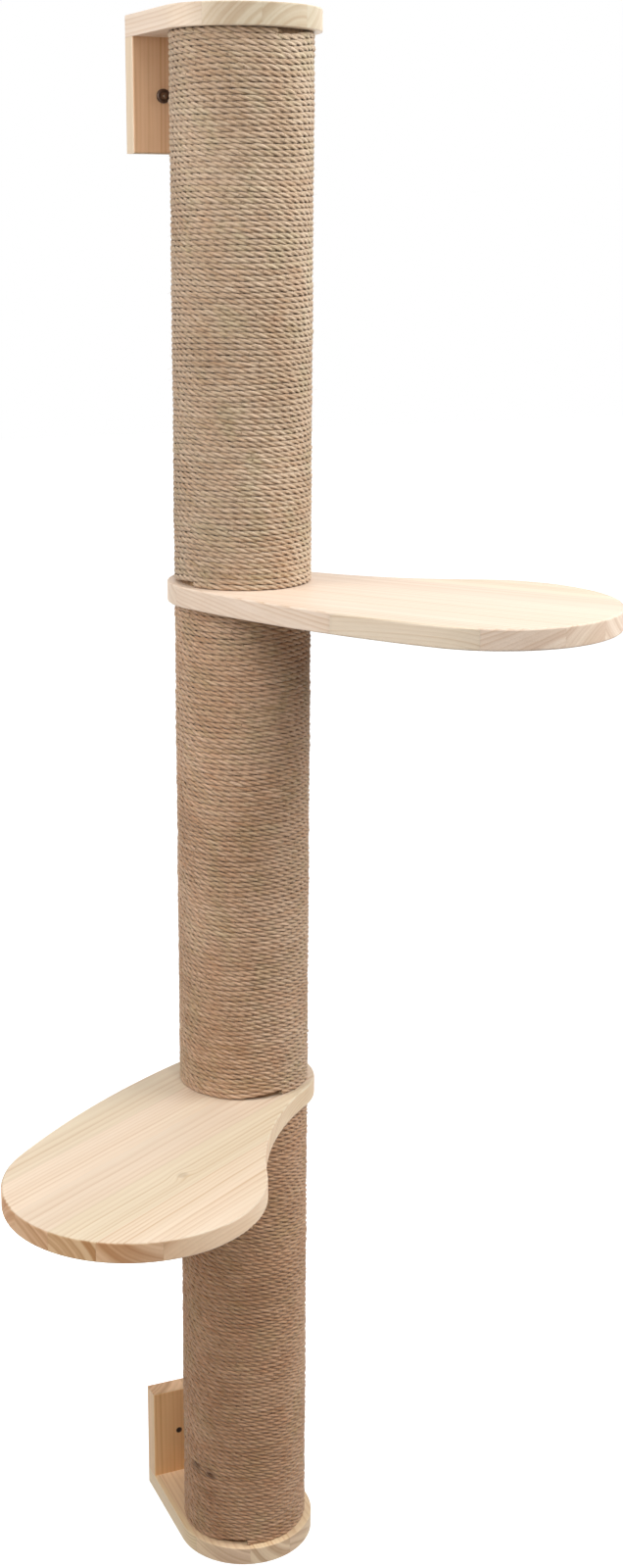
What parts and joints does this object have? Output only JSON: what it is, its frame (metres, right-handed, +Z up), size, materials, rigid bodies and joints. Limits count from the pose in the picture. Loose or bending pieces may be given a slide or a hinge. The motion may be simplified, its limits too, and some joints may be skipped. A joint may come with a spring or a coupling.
{
  "type": "wall mounted cat tree",
  "caption": "Tall wall mounted cat climbing post: rope wound column with two swivelling pear shaped pine shelves, held by an L shaped wooden bracket at the top and the bottom.",
  "frame": {"origin": "on the wall plane, midway between the two upper wall screws", "axes": "+X along the wall to the right as seen from the front, +Y into the wall, +Z up"},
  "size_m": [0.5339, 0.4306, 1.422],
  "materials": {
    "pine": "planed and finely sanded, clear",
    "plug_wood": "sawn",
    "jute": "twisted natural jute twine, wound close",
    "cardboard": "spiral wound cardboard",
    "zinc_steel": "zinc plated",
    "yellow_zinc": "yellow passivated zinc",
    "bronzed_steel": "dark bronzed"
  },
  "bodies": {
    "column": {"lower_bracket_bolt": "zinc_steel", "lower_bracket_plate": "pine", "lower_bracket_screws": "yellow_zinc", "lower_bracket_washer": "zinc_steel", "lower_post_bottom_nut": "zinc_steel", "lower_post_bottom_plug": "plug_wood", "lower_post_rope": "jute", "lower_post_staples": "zinc_steel", "lower_post_top_nut": "zinc_steel", "lower_post_top_plug": "plug_wood", "lower_post_tube": "cardboard", "lower_shelf_stud": "zinc_steel", "lower_wall_plate": "pine", "middle_post_bottom_nut": "zinc_steel", "middle_post_bottom_plug": "plug_wood", "middle_post_rope": "jute", "middle_post_staples": "zinc_steel", "middle_post_top_nut": "zinc_steel", "middle_post_top_plug": "plug_wood", "middle_post_tube": "cardboard", "upper_bracket_bolt": "zinc_steel", "upper_bracket_plate": "pine", "upper_bracket_screws": "yellow_zinc", "upper_bracket_washer": "zinc_steel", "upper_post_bottom_nut": "zinc_steel", "upper_post_bottom_plug": "plug_wood", "upper_post_rope": "jute", "upper_post_staples": "zinc_steel", "upper_post_top_nut": "zinc_steel", "upper_post_top_plug": "plug_wood", "upper_post_tube": "cardboard", "upper_shelf_stud": "zinc_steel", "upper_wall_plate": "pine", "upper_wall_screws": "bronzed_steel"},
    "upper_shelf": {"upper_shelf": "pine"},
    "lower_shelf": {"lower_shelf": "pine"}
  },
  "joints": [
    {"name": "upper_shelf_swivel", "type": "hinge", "parent": "column", "child": "upper_shelf", "pos_m": [0, -0.102, -0.412], "axis": [0, 0, 1], "range_deg": [-127.5, 46.5]},
    {"name": "lower_shelf_swivel", "type": "hinge", "parent": "column", "child": "lower_shelf", "pos_m": [0, -0.102, -0.88], "axis": [0, 0, 1], "range_deg": [-42.5, 131.5]}
  ]
}
